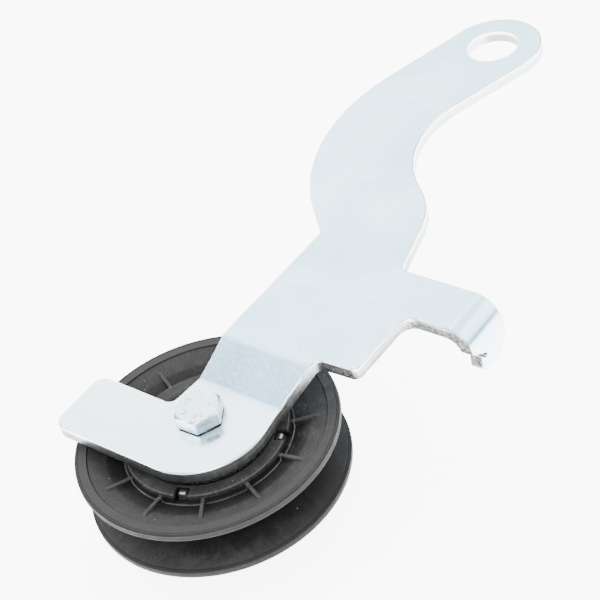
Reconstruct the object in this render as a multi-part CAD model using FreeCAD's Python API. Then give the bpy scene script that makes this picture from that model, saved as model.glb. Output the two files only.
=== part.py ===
"""Belt tensioner arm with a V-groove idler pulley.

A flat pressed-steel arm swings on a pin through its eye. A spring hooks into the notch of the
curled tab, and pulls the idler pulley at the other end against a V-belt.

Working frame: millimetres, Z along the pulley axis, Z = 0 on the pulley's front face, and X along
the arm from the pulley towards the eye. Every solid is moved at the end so that the centre of
the pivot bore is the origin.
"""
import FreeCAD, Part
import math
import os

V = FreeCAD.Vector
AXIS = V(0, 0, 1)

# ---- driving dimensions: arm ------------------------------------------------------------------
SHEET = 4.0                     # sheet thickness
JOGGLE_RISE = 7.0               # step from the foot up to the main plate
JOGGLE_ANGLE = 28.0             # slope of the step, degrees
JOGGLE_START = 12.7             # where the foot ends, from the pulley axis
JOGGLE_INNER_R = 1.5            # press radius on the inside of both bends
FOOT_UNDERSIDE = 1.0            # gap from the pulley's front face to the foot
FOOT_R = 21.5                   # round end of the foot, about the pulley axis
STRAP_TOP_Y = 10.4              # straight edge of the strap
EYE_CENTRE = V(181.4, 12.6, 0)
EYE_R = 17.0
PIVOT_BORE_R = 9.0
FINGER_EDGE_X = 0.8             # the belt finger runs from the foot's left edge to this X
FINGER_END_Y = 41.8
TAB_X = (54.0, 70.7)            # the hook tab's two side edges
TAB_FLAT_END_Y = -50.3          # where the curl begins
TAB_CURL_R = 8.9                # outer radius of the curl
TAB_CURL_ANGLE = 96.0
TAB_TAIL = 9.1                  # straight end after the curl
EDGE_ROUND = 0.55               # die roll on the punched edges

# ---- driving dimensions: pulley ---------------------------------------------------------------
PULLEY_R = 40.0
PULLEY_WIDTH = 18.2
RIM_EDGE = 2.16                 # height of the rim's cylindrical edge
RIM_LAND = 3.7                  # width of the flat land on the rim
GROOVE_BOTTOM_R = 27.0
GROOVE_FLANK = 20.0             # flank angle from the pulley's plane, degrees
DISH_STEP = 0.4
DISH_FOOT = (25.4, 3.75)        # radius and depth where the dish meets the collar
COLLAR_R = 24.8
COLLAR_DEPTH = 0.8              # collar's top below the front face
COLLAR_MOUTH_R = 21.3
BEARING_LIP_R = 18.9
RIB_COUNT = 12
RIB_PHASE = 6.5                 # degrees
RIB_THICKNESS = 1.2
RIB_OUTER_R = 33.6
RIB_TOP = 1.9                   # depth of the rib's inner end
WINDOW_COUNT = 4
WINDOW_PHASE = 21.5             # degrees, midway between two ribs
WINDOW_WIDTH = 4.1
WINDOW_R = (21.4, 26.0)
WINDOW_FLOOR = 3.45             # depth of the ledge under the window
CHANNEL_R = 23.6                # outer side of the channel that the claw rises through
CLAW_WIDTH = 3.5
CLAW_R = (21.7, 23.3)
CLAW_LEDGE = 3.4                # depth of the hook's underside
CLAW_TIP = 1.5                  # depth of the claw's tip
CLAW_HOOK = 0.9                 # how far the hook reaches outwards
MOULD_SOFT = 0.35               # radius of the moulded outer corners

# ---- driving dimensions: bearing, 17 x 40 x 12 ------------------------------------------------
BEARING_BORE_R = 8.5
BEARING_R = 20.0
BEARING_WIDTH = 12.0
BALL_COUNT = 8
BALL_R = 3.35
RACE_R = 3.5
PITCH_R = 14.35
INNER_SHOULDER_R = 12.1
OUTER_SHOULDER_R = 16.6
SEAL_SEAT_R = 17.6
SEAL_SEAT_DEPTH = 1.6
SEAL_THICKNESS = 0.9
SEAL_INSET = 0.4                # from the ring's face to the seal
SEAL_GAP = 0.1                  # from the seal's lip to the inner ring
CAGE_HALF_WALL = 1.2
CAGE_BACK = 4.3                 # from the balls' plane to the closed side
CAGE_FRONT = 1.4
POCKET_GAP = 0.15

# ---- driving dimensions: M8 hardware ----------------------------------------------------------
BOLT_R = 4.0
HEAD_FLATS = 13.0
HEAD_HEIGHT = 5.3
HEAD_TURN = 32.5                # degrees
BOLT_LENGTH = 35.0
CLEARANCE_R = 4.25              # holes that the bolt passes through
BUSH_FLANGE_R = 11.4
REAR_FLANGE = 3.0
WASHER_R = 8.0
WASHER_THICKNESS = 1.6
NUT_BODY = 6.3
NUT_HEIGHT = 8.0
NUT_TURN = 12.0                 # degrees
CROWN_R = 5.7
CROWN_WALL = 0.7
INSERT_INSET = 0.3              # from the crown's end to the nylon ring
INSERT_THICKNESS = 2.0

MID = -PULLEY_WIDTH / 2.0                       # the pulley's middle plane
BEARING_TOP = MID + BEARING_WIDTH / 2.0
BEARING_BOTTOM = MID - BEARING_WIDTH / 2.0
FOOT_TOP = FOOT_UNDERSIDE + SHEET
PLATE_TOP = FOOT_TOP + JOGGLE_RISE
PLATE_BOTTOM = PLATE_TOP - SHEET
BUSH_BOTTOM = BEARING_BOTTOM - REAR_FLANGE
WASHER_BOTTOM = BUSH_BOTTOM - WASHER_THICKNESS
NUT_BOTTOM = WASHER_BOTTOM - NUT_HEIGHT
BOLT_END = FOOT_TOP - BOLT_LENGTH
TO_ORIGIN = V(-EYE_CENTRE.x, -EYE_CENTRE.y, -(PLATE_TOP + PLATE_BOTTOM) / 2.0)
BIG = 300.0
ARC_SAG = 1.0 - math.sqrt(0.5)                  # from a corner to the middle of a quarter arc, per radius


# ---- geometry helpers -------------------------------------------------------------------------
def rounded_wire(corners):
    """A closed wire through corners (x, y, radius), each corner replaced by a tangent arc."""
    edges = []
    joins = []
    count = len(corners)
    for i, (x, y, radius) in enumerate(corners):
        here = V(x, y, 0)
        before = V(*corners[i - 1][:2], 0) - here
        after = V(*corners[(i + 1) % count][:2], 0) - here
        before.normalize()
        after.normalize()
        half = before.getAngle(after) / 2.0
        reach = radius / math.tan(half)
        start = here + before * reach
        end = here + after * reach
        joins.append((start, end))
        if radius > 0:
            inward = before + after
            inward.normalize()
            middle = here + inward * (radius / math.sin(half) - radius)
            edges.append(Part.Arc(start, middle, end).toShape())
    for i in range(count):
        start = joins[i][1]
        end = joins[(i + 1) % count][0]
        if start.distanceToPoint(end) > 1e-6:
            edges.append(Part.makeLine(start, end))
    return Part.Wire(Part.__sortEdges__(edges))


def slab(wire, bottom, top):
    """A flat wire in the XY plane raised into a solid between two heights."""
    face = Part.Face(wire)
    face.translate(V(0, 0, bottom))
    return face.extrude(V(0, 0, top - bottom))


def turned(profile):
    """A solid of revolution about Z from (radius, height) points; a point of four values
    (radius, height, mid radius, mid height) is reached by an arc through the middle point."""
    edges = []
    last = V(profile[-1][0], 0, profile[-1][1])
    for point in profile:
        here = V(point[0], 0, point[1])
        if len(point) == 4:
            edges.append(Part.Arc(last, V(point[2], 0, point[3]), here).toShape())
        elif last.distanceToPoint(here) > 1e-6:
            edges.append(Part.makeLine(last, here))
        last = here
    return Part.Face(Part.Wire(edges)).revolve(V(0, 0, 0), AXIS, 360)


def ring(inner, outer, bottom, top):
    return turned([(inner, bottom), (outer, bottom), (outer, top), (inner, top)])


def spun(shape, degrees):
    copy = shape.copy()
    copy.rotate(V(0, 0, 0), AXIS, degrees)
    return copy


def mirrored(shape):
    """The same shape on the other side of the pulley's middle plane."""
    return shape.mirror(V(0, 0, MID), AXIS)


def hexagon(flats, bottom, top, turn):
    corner = flats / math.sqrt(3.0)
    angles = [math.radians(turn + 60 * k) for k in range(6)]
    points = [V(corner * math.cos(a), corner * math.sin(a), 0) for a in angles]
    return slab(Part.makePolygon(points + points[:1]), bottom, top)


# ---- arm --------------------------------------------------------------------------------------
def tangent_angle(centre, radius, outside, side):
    """The direction, from a circle's centre, of the point where a line from outside touches it."""
    away = outside - centre
    return math.degrees(math.atan2(away.y, away.x) + side * math.acos(radius / away.Length))


def round_end(centre, radius, angle_from, angle_to):
    """Corners whose arcs together follow a circle from one direction to the other."""
    steps = math.ceil((angle_to - angle_from) / 120.0)
    span = (angle_to - angle_from) / steps
    reach = radius / math.cos(math.radians(span / 2.0))
    corners = []
    for k in range(steps):
        angle = math.radians(angle_from + (k + 0.5) * span)
        corners.append((centre.x + reach * math.cos(angle), centre.y + reach * math.sin(angle), radius))
    return corners


def arm_outline():
    """The arm seen along the pulley axis, counter-clockwise from the tip of the belt finger."""
    left = -FOOT_R
    strap_lower = V(13.0, -19.6, 0)
    neck_lower = V(123.4, 14.7, 0)
    neck_upper = V(112.8, 51.6, 0)
    foot_angle = tangent_angle(V(0, 0, 0), FOOT_R, strap_lower, -1) % 360
    eye_from = tangent_angle(EYE_CENTRE, EYE_R, neck_lower, 1) - 360
    eye_to = tangent_angle(EYE_CENTRE, EYE_R, neck_upper, -1)
    corners = [(left, FINGER_END_Y, 4.5)]
    corners += round_end(V(0, 0, 0), FOOT_R, 180, foot_angle)
    corners += [
        (strap_lower.x, strap_lower.y, 14.0),
        (28.4, -23.9, 3.0),
        (29.1, -37.0, 2.4),
        (TAB_X[0], -37.2, 4.5),
        (TAB_X[0], TAB_FLAT_END_Y, 0),
        (TAB_X[1], TAB_FLAT_END_Y, 0),
        (TAB_X[1], -24.2, 2.6),
        (99.2, -16.3, 30.0),
        (neck_lower.x, neck_lower.y, 37.0),
    ]
    corners += round_end(EYE_CENTRE, EYE_R, eye_from, eye_to)
    corners += [
        (neck_upper.x, neck_upper.y, 68.0),
        (75.7, STRAP_TOP_Y, 3.0),
        (23.0, STRAP_TOP_Y, 60.0),
        (FINGER_EDGE_X, 12.4, 2.6),
        (FINGER_EDGE_X, FINGER_END_Y, 4.0),
    ]
    return corners


def joggled_sheet():
    """A wide band of sheet, seen from the side: foot, sloping step and main plate."""
    rise = JOGGLE_RISE / math.tan(math.radians(JOGGLE_ANGLE))
    outer = JOGGLE_INNER_R + SHEET
    shift = SHEET * math.tan(math.radians(JOGGLE_ANGLE / 2.0))
    low_in = (JOGGLE_START, FOOT_TOP, JOGGLE_INNER_R)
    high_out = (JOGGLE_START + rise, PLATE_TOP, outer)
    high_in = (JOGGLE_START + rise + shift, PLATE_BOTTOM, JOGGLE_INNER_R)
    low_out = (JOGGLE_START + shift, FOOT_UNDERSIDE, outer)
    section = rounded_wire([
        (-BIG, FOOT_TOP, 0), low_in, high_out, (BIG, PLATE_TOP, 0),
        (BIG, PLATE_BOTTOM, 0), high_in, low_out, (-BIG, FOOT_UNDERSIDE, 0),
    ])
    section.rotate(V(0, 0, 0), V(1, 0, 0), 90)
    section.translate(V(0, BIG, 0))
    return Part.Face(section).extrude(V(0, -2 * BIG, 0))


def curled_tab():
    """The hook tab's curl: a quarter bend of sheet, a short tail, rounded corners and the notch
    that holds the end of the spring."""
    inner = TAB_CURL_R - SHEET
    centre = V(0, TAB_FLAT_END_Y, PLATE_TOP - TAB_CURL_R)
    overlap = 1.0

    def polar(radius, angle):
        a = math.radians(90 + angle)
        return centre + V(0, radius * math.cos(a), radius * math.sin(a))

    end = math.radians(180 + TAB_CURL_ANGLE)
    along = V(0, math.cos(end), math.sin(end)) * TAB_TAIL
    half = TAB_CURL_ANGLE / 2.0
    flat = V(0, overlap, 0)
    p = [polar(TAB_CURL_R, 0) + flat, polar(TAB_CURL_R, 0), polar(TAB_CURL_R, TAB_CURL_ANGLE),
         polar(inner, TAB_CURL_ANGLE), polar(inner, 0), polar(inner, 0) + flat]
    edges = [
        Part.makeLine(p[0], p[1]),
        Part.Arc(p[1], polar(TAB_CURL_R, half), p[2]).toShape(),
        Part.makeLine(p[2], p[2] + along),
        Part.makeLine(p[2] + along, p[3] + along),
        Part.makeLine(p[3] + along, p[3]),
        Part.Arc(p[3], polar(inner, half), p[4]).toShape(),
        Part.makeLine(p[4], p[5]),
        Part.makeLine(p[5], p[0]),
    ]
    face = Part.Face(Part.Wire(edges))
    face.translate(V(TAB_X[0], 0, 0))
    return face.extrude(V(TAB_X[1] - TAB_X[0], 0, 0)).common(tab_end_outline())


def tab_end_outline():
    """A prism along Y with the tab's end outline: a slanted notch for the spring, a barb below it
    and round corners."""
    low = -TAB_TAIL + 2.2
    near, far = TAB_X
    outline = rounded_wire([
        (near, PLATE_TOP + 1.0, 0),
        (near, 3.9, 1.2),
        (near + 6.6, -0.6, 0.9),
        (near + 6.6, -2.9, 0.55),
        (near + 3.8, 0.7, 0.5),
        (near + 3.6, low, 3.2),
        (far, low, 5.2),
        (far, PLATE_TOP + 1.0, 0),
    ])
    outline.rotate(V(0, 0, 0), V(1, 0, 0), 90)
    return Part.Face(outline).extrude(V(0, -BIG, 0))


def normal_near(face, point):
    u, v = face.Surface.parameter(point)
    return face.normalAt(u, v)


def skin_boundary(solid, seed):
    """The edges round the smooth run of faces that starts at a seed face."""
    skin, waiting = [], [seed]
    boundary = []
    while waiting:
        face = waiting.pop()
        skin.append(face)
        for edge in face.Edges:
            middle = edge.valueAt((edge.FirstParameter + edge.LastParameter) / 2.0)
            for other in solid.ancestorsOfType(edge, Part.Face):
                if other.isSame(face):
                    continue
                if normal_near(face, middle).dot(normal_near(other, middle)) < 0.99:
                    boundary.append(edge)
                elif not any(other.isSame(known) for known in skin + waiting):
                    waiting.append(other)
    return boundary


def arm_plate():
    """The pressed arm. Its upper edges are rolled over, as a punch leaves them."""
    blank = slab(rounded_wire(arm_outline()), -BIG, BIG)
    plate = blank.common(joggled_sheet())
    plate = plate.fuse(curled_tab()).removeSplitter()
    top = max((f for f in plate.Faces if abs(f.CenterOfMass.z - PLATE_TOP) < 0.01), key=lambda f: f.Area)
    plate = plate.makeFillet(EDGE_ROUND, skin_boundary(plate, top))
    bore = Part.makeCylinder(PIVOT_BORE_R, BIG, EYE_CENTRE - V(0, 0, BIG / 2), AXIS)
    bolt_hole = Part.makeCylinder(CLEARANCE_R, BIG, V(0, 0, -BIG / 2), AXIS)
    return plate.cut(bore).cut(bolt_hole)


# ---- pulley -----------------------------------------------------------------------------------
def flange_profile():
    """The front half's section: rim, V flank, hub, bearing seat with its lip, collar and dish."""
    flank = math.tan(math.radians(GROOVE_FLANK))
    land_r = PULLEY_R - RIM_LAND
    bottom = -RIM_EDGE - (PULLEY_R - GROOVE_BOTTOM_R) * flank
    soft = MOULD_SOFT
    sag = ARC_SAG * soft
    return [
        (PULLEY_R - soft, 0),
        (PULLEY_R, -soft, PULLEY_R - sag, -sag),
        (PULLEY_R, -RIM_EDGE),
        (GROOVE_BOTTOM_R, bottom),
        (GROOVE_BOTTOM_R, MID),
        (BEARING_R, MID),
        (BEARING_R, BEARING_TOP),
        (BEARING_LIP_R, BEARING_TOP),
        (BEARING_LIP_R, BEARING_TOP + 0.7),
        (COLLAR_MOUTH_R, -COLLAR_DEPTH),
        (COLLAR_R - soft, -COLLAR_DEPTH),
        (COLLAR_R, -COLLAR_DEPTH - soft, COLLAR_R - sag, -COLLAR_DEPTH - sag),
        (DISH_FOOT[0], -DISH_FOOT[1]),
        (land_r - 0.2, -DISH_STEP),
        (land_r, 0),
    ]


def gusset():
    """One triangular rib between the collar's wall and the dish, along X."""
    land_r = PULLEY_R - RIM_LAND
    slope = (DISH_FOOT[1] - DISH_STEP) / (land_r - DISH_FOOT[0])
    tip = -DISH_STEP - (land_r - RIB_OUTER_R) * slope
    root_r = COLLAR_R - 0.4
    buried = 0.8
    points = [(root_r, -RIB_TOP), (RIB_OUTER_R - 0.6, tip + 0.25), (RIB_OUTER_R, tip),
              (RIB_OUTER_R, tip - buried), (root_r, -DISH_FOOT[1] - buried)]
    corners = [V(r, -RIB_THICKNESS / 2.0, z) for r, z in points]
    return Part.Face(Part.makePolygon(corners + corners[:1])).extrude(V(0, RIB_THICKNESS, 0))


def box_at(radius_from, radius_to, width, bottom, top, angle):
    box = Part.makeBox(radius_to - radius_from, width, top - bottom, V(radius_from, -width / 2.0, bottom))
    return spun(box, angle)


def window_angles():
    return [WINDOW_PHASE + k * 360.0 / WINDOW_COUNT for k in range(WINDOW_COUNT)]


def bare_half():
    """One half of the pulley before its windows and claws are made."""
    half = turned(flange_profile())
    ribs = [spun(gusset(), RIB_PHASE + k * 360.0 / RIB_COUNT) for k in range(RIB_COUNT)]
    return half.multiFuse(ribs)


def claw(angle):
    """A snap claw that rises beside the bearing and hooks over a ledge in the front half."""
    inner, outer = CLAW_R
    nose = outer + CLAW_HOOK
    foot = MID - 3.0
    points = [(inner, foot), (outer, foot), (outer, -CLAW_LEDGE), (nose, -CLAW_LEDGE),
              (nose, -CLAW_LEDGE + 0.5), (outer, -CLAW_TIP), (inner, -CLAW_TIP)]
    corners = [V(r, -CLAW_WIDTH / 2.0, z) for r, z in points]
    return spun(Part.Face(Part.makePolygon(corners + corners[:1])).extrude(V(0, CLAW_WIDTH, 0)), angle)


def pulley_front_half():
    """The half next to the arm, with a window for each claw and a channel below it."""
    half = bare_half()
    inner, outer = WINDOW_R
    past = 1.0
    for angle in window_angles():
        half = half.cut(box_at(inner, outer, WINDOW_WIDTH, -WINDOW_FLOOR, past, angle))
        half = half.cut(box_at(inner, CHANNEL_R, WINDOW_WIDTH, MID - past, past, angle))
    return half


def pulley_rear_half():
    """The far half, a mirror image with the four claws."""
    half = mirrored(bare_half())
    return half.multiFuse([claw(angle) for angle in window_angles()])


# ---- bearing ----------------------------------------------------------------------------------
def race_groove():
    return Part.makeTorus(PITCH_R, RACE_R, V(0, 0, MID), AXIS)


def bearing_outer_ring():
    soft = 0.5
    seat = SEAL_SEAT_DEPTH
    body = turned([
        (OUTER_SHOULDER_R, BEARING_BOTTOM + seat), (SEAL_SEAT_R, BEARING_BOTTOM + seat),
        (SEAL_SEAT_R, BEARING_BOTTOM), (BEARING_R - soft, BEARING_BOTTOM),
        (BEARING_R, BEARING_BOTTOM + soft), (BEARING_R, BEARING_TOP - soft),
        (BEARING_R - soft, BEARING_TOP), (SEAL_SEAT_R, BEARING_TOP),
        (SEAL_SEAT_R, BEARING_TOP - seat), (OUTER_SHOULDER_R, BEARING_TOP - seat),
    ])
    return body.cut(race_groove())


def bearing_inner_ring():
    soft = 0.4
    body = turned([
        (BEARING_BORE_R, BEARING_BOTTOM), (INNER_SHOULDER_R - soft, BEARING_BOTTOM),
        (INNER_SHOULDER_R, BEARING_BOTTOM + soft), (INNER_SHOULDER_R, BEARING_TOP - soft),
        (INNER_SHOULDER_R - soft, BEARING_TOP), (BEARING_BORE_R, BEARING_TOP),
    ])
    return body.cut(race_groove())


def ball_centre(k):
    angle = math.radians(k * 360.0 / BALL_COUNT)
    return V(PITCH_R * math.cos(angle), PITCH_R * math.sin(angle), MID)


def bearing_ball(k):
    return Part.makeSphere(BALL_R, ball_centre(k))


def bearing_cage():
    """A crown cage: a ring behind the balls with an open pocket round each one."""
    cage = ring(PITCH_R - CAGE_HALF_WALL, PITCH_R + CAGE_HALF_WALL, MID - CAGE_BACK, MID + CAGE_FRONT)
    for k in range(BALL_COUNT):
        cage = cage.cut(Part.makeSphere(BALL_R + POCKET_GAP, ball_centre(k)))
    return cage


def bearing_seal(bottom):
    """A thin annular seal, held in the outer ring and just clear of the inner ring."""
    return ring(INNER_SHOULDER_R + SEAL_GAP, SEAL_SEAT_R, bottom, bottom + SEAL_THICKNESS)


def bearing_seal_front():
    return bearing_seal(BEARING_TOP - SEAL_INSET - SEAL_THICKNESS)


def bearing_seal_rear():
    return bearing_seal(BEARING_BOTTOM + SEAL_INSET)


# ---- hardware ---------------------------------------------------------------------------------
def front_bush():
    """The flanged half-bush between the foot and the bearing."""
    return turned([
        (CLEARANCE_R, MID), (BEARING_BORE_R, MID), (BEARING_BORE_R, BEARING_TOP),
        (BUSH_FLANGE_R, BEARING_TOP), (BUSH_FLANGE_R, FOOT_UNDERSIDE), (CLEARANCE_R, FOOT_UNDERSIDE),
    ])


def rear_bush():
    """The flanged half-bush under the washer."""
    soft = 0.5
    return turned([
        (CLEARANCE_R, MID), (BEARING_BORE_R, MID), (BEARING_BORE_R, BEARING_BOTTOM),
        (BUSH_FLANGE_R, BEARING_BOTTOM), (BUSH_FLANGE_R, BUSH_BOTTOM + soft),
        (BUSH_FLANGE_R - soft, BUSH_BOTTOM), (CLEARANCE_R, BUSH_BOTTOM),
    ])


def flat_washer():
    return ring(CLEARANCE_R, WASHER_R, WASHER_BOTTOM, BUSH_BOTTOM)


def hex_with_cones(flats, bottom, top, turn, bottom_cone, top_cone):
    """A hexagon whose corners are cut by a 30 degree cone at either end."""
    past = flats / math.sqrt(3.0) + 1.0
    edge = flats / 2.0 - 0.25
    rise = (past - edge) * math.tan(math.radians(30))
    profile = [(0, bottom)]
    profile += [(edge, bottom), (past, bottom + rise)] if bottom_cone else [(past, bottom)]
    profile += [(past, top - rise), (edge, top)] if top_cone else [(past, top)]
    profile += [(0, top)]
    return hexagon(flats, bottom, top, turn).common(turned(profile))


def hex_bolt():
    face = 0.4
    head = hex_with_cones(HEAD_FLATS, FOOT_TOP + face, FOOT_TOP + HEAD_HEIGHT, HEAD_TURN, False, True)
    washer_face = Part.makeCylinder(HEAD_FLATS / 2.0 - 0.3, face, V(0, 0, FOOT_TOP), AXIS)
    chamfer = 0.8
    shank = turned([
        (0, BOLT_END), (BOLT_R - chamfer, BOLT_END), (BOLT_R, BOLT_END + chamfer),
        (BOLT_R, FOOT_TOP), (0, FOOT_TOP),
    ])
    return head.fuse(washer_face).fuse(shank).removeSplitter()


def lock_nut():
    """A lock nut's steel body: a hexagon with a round crown that holds the nylon ring."""
    hex_bottom = WASHER_BOTTOM - NUT_BODY
    overlap = 0.5
    body = hex_with_cones(HEAD_FLATS, hex_bottom, WASHER_BOTTOM, NUT_TURN, True, True)
    crown = turned([
        (0, NUT_BOTTOM + overlap), (CROWN_R - 0.5, NUT_BOTTOM), (CROWN_R, NUT_BOTTOM + 0.6),
        (CROWN_R, hex_bottom + overlap), (0, hex_bottom + overlap),
    ])
    hole = Part.makeCylinder(BOLT_R, BIG, V(0, 0, -BIG / 2), AXIS)
    pocket = ring(0, CROWN_R - CROWN_WALL, NUT_BOTTOM - overlap, NUT_BOTTOM + INSERT_INSET + INSERT_THICKNESS)
    return body.fuse(crown).cut(hole).cut(pocket)


def nut_insert():
    """The nylon ring in the nut's crown."""
    low = NUT_BOTTOM + INSERT_INSET
    return ring(BOLT_R, CROWN_R - CROWN_WALL, low, low + INSERT_THICKNESS)


PIECES = {
    "arm_plate": arm_plate,
    "pulley_front_half": pulley_front_half,
    "pulley_rear_half": pulley_rear_half,
    "bearing_outer_ring": bearing_outer_ring,
    "bearing_inner_ring": bearing_inner_ring,
    "bearing_cage": bearing_cage,
    "bearing_seal_front": bearing_seal_front,
    "bearing_seal_rear": bearing_seal_rear,
    "front_bush": front_bush,
    "rear_bush": rear_bush,
    "flat_washer": flat_washer,
    "hex_bolt": hex_bolt,
    "lock_nut": lock_nut,
    "nut_insert": nut_insert,
}


def main():
    os.makedirs("parts", exist_ok=True)
    shapes = {name: make() for name, make in PIECES.items()}
    for k in range(BALL_COUNT):
        shapes["bearing_ball_%d" % (k + 1)] = bearing_ball(k)
    for name, shape in shapes.items():
        shape.translate(TO_ORIGIN)
        shape.exportStep("parts/" + name + ".step")
        box = shape.BoundBox
        print(name, "solids", len(shape.Solids), "valid", shape.isValid(), "volume %.1f" % shape.Volume,
              "size %.1f %.1f %.1f" % (box.XLength, box.YLength, box.ZLength))


main()
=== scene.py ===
"""Looks for the belt tensioner arm: zinc plating on the pressed arm, moulded pulley halves, turned and
hexagonal hardware, a pale floor, soft light and the camera.

Lengths are millimetres about the working origin, which is the centre of the pulley's front face, with
Z along the pulley's axis and X towards the eye. place() turns them into the frame's metres. The
floor, the lamps, the camera and the bumps are in metres, and texture scales are per metre.
"""
import math

import bpy
import numpy as np
from mathutils import Matrix, Vector


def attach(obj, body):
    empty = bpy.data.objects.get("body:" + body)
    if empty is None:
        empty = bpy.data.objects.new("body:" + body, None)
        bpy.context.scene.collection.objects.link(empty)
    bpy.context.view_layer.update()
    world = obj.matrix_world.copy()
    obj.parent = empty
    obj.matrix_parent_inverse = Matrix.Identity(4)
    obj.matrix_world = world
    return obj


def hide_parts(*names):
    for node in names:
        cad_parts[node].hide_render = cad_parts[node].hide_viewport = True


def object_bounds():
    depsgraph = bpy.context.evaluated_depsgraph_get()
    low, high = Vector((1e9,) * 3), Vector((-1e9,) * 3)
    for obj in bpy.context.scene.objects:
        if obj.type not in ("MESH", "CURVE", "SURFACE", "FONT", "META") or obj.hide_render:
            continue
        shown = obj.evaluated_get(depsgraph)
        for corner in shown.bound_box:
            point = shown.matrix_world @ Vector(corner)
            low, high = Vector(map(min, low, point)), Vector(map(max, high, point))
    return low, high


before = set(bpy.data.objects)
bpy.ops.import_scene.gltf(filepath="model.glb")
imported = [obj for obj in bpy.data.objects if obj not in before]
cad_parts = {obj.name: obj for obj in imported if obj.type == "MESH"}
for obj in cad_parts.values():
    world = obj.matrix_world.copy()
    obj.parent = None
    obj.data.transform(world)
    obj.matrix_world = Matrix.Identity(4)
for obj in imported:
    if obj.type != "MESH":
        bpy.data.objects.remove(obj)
cad_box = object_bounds()

MM = 0.001
ORIGIN = np.array([-181.4, -12.6, -10.0])       # the working origin in the frame, mm

# ---- the CAD's dimensions -----------------------------------------------------------------------
SHEET = 4.0
FOOT_UNDERSIDE = 1.0
FOOT_TOP = FOOT_UNDERSIDE + SHEET
ARM_TOP = FOOT_TOP + 7.0
STEP_START_X = 12.7                             # the arm's step up from the foot
STEP_END_X = 25.9
TAB_Y = -25.9                                   # where the hook tab leaves the arm
CURL_Y = -50.3                                  # where the tab's curl begins
PULLEY_R = 40.0
REAR_FACE = -18.2
MID = REAR_FACE / 2.0
RIM_EDGE = 2.16                                 # height of the rim's edge
LAND_R = 36.3                                   # inner edge of the rim's flat land
GROOVE_BOTTOM_R = 27.0
GROOVE_BOTTOM_Z = -RIM_EDGE - (PULLEY_R - GROOVE_BOTTOM_R) * math.tan(math.radians(20.0))
DISH_STEP = 0.4                                 # from the land down to the dish
DISH_EDGE_R = LAND_R - 0.2
DISH_FOOT_R, DISH_FOOT_Z = 25.4, -3.75
COLLAR_R = 24.8
COLLAR_Z = -0.8
MOUTH_R = 21.3                                  # inner edge of the collar's top
LIP_R = 18.9
RIB_COUNT = 12
RIB_PHASE = 6.5
RIB_OUTER_R = 33.6
RIB_TOP_Z = -1.9
WINDOW_COUNT = 4
WINDOW_PHASE = 21.5
WINDOW_FLOOR_Z = -3.45
CHANNEL_R = (21.4, 23.6)                        # the channel that a claw rises through
CLAW_R = (21.7, 23.3)
CLAW_TIP_Z = -1.5
BEARING_R = 20.0
BEARING_BORE_R = 8.5
BALL_COUNT = 8
BEARING_TOP = MID + 6.0
BEARING_BOTTOM = MID - 6.0
PITCH_R = 14.35
RACE_R = 3.5
INNER_SHOULDER_R = 12.1
OUTER_SHOULDER_R = 16.6
SEAL_SEAT_R = 17.6
SEAL_SEAT_DEPTH = 1.6
BOLT_R = 4.0
CLEARANCE_R = 4.25
HEAD_FLATS = 13.0                               # the nut has the same width across flats
HEAD_TOP = FOOT_TOP + 5.3
HEAD_TURN = 32.5
BUSH_FLANGE_R = 11.4
BUSH_BOTTOM = BEARING_BOTTOM - 3.0
WASHER_R = 8.0
WASHER_BOTTOM = BUSH_BOTTOM - 1.6
NUT_HEX_BOTTOM = WASHER_BOTTOM - 6.3
NUT_BOTTOM = WASHER_BOTTOM - 8.0
NUT_TURN = 12.0
CROWN_R = 5.7
POCKET_R = CROWN_R - 0.7                        # the crown's pocket for the nylon ring
INSERT_Z = (NUT_BOTTOM + 0.3, NUT_BOTTOM + 2.3)
BOLT_END = FOOT_TOP - 35.0

# ---- details that only the looks have -----------------------------------------------------------
RIM_WALL_R = PULLEY_R - 0.07                    # the rim's wall, above and below its moulded ridge
RIDGE_Z = -1.58
MOULD_SOFT = 0.35                               # rounding of the collar's outer corner
CLAW_HALF_WIDTH = 1.3                           # slimmer than the CAD's plain claw
MARK_RISE = 0.29                                # raised dashes on the bolt's head
HEAD_REFLECTION_X, HEAD_REFLECTION_Y = -4.9, -9.0                 # middle of a painted reflection of the head: a dark smudge beside it
PAINTED_BRIGHT_EDGE_X = (56.4, 111.4)                    # the sheared edges are painted whiter between these, a painted highlight
PAINTED_SHADE_SIDE = -0.75                             # direction of the side that is painted darker as painted shade, radians

# The wear attribute is 0 on plain faces and up to 1 on rubbed edges, which are painted lighter as
# # wear and painted highlight. These two go beyond that: the first marks painted shade, the second
# # a painted glint.
PAINTED_SHADE = -0.8
PAINTED_GLINT = 2.2


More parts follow.
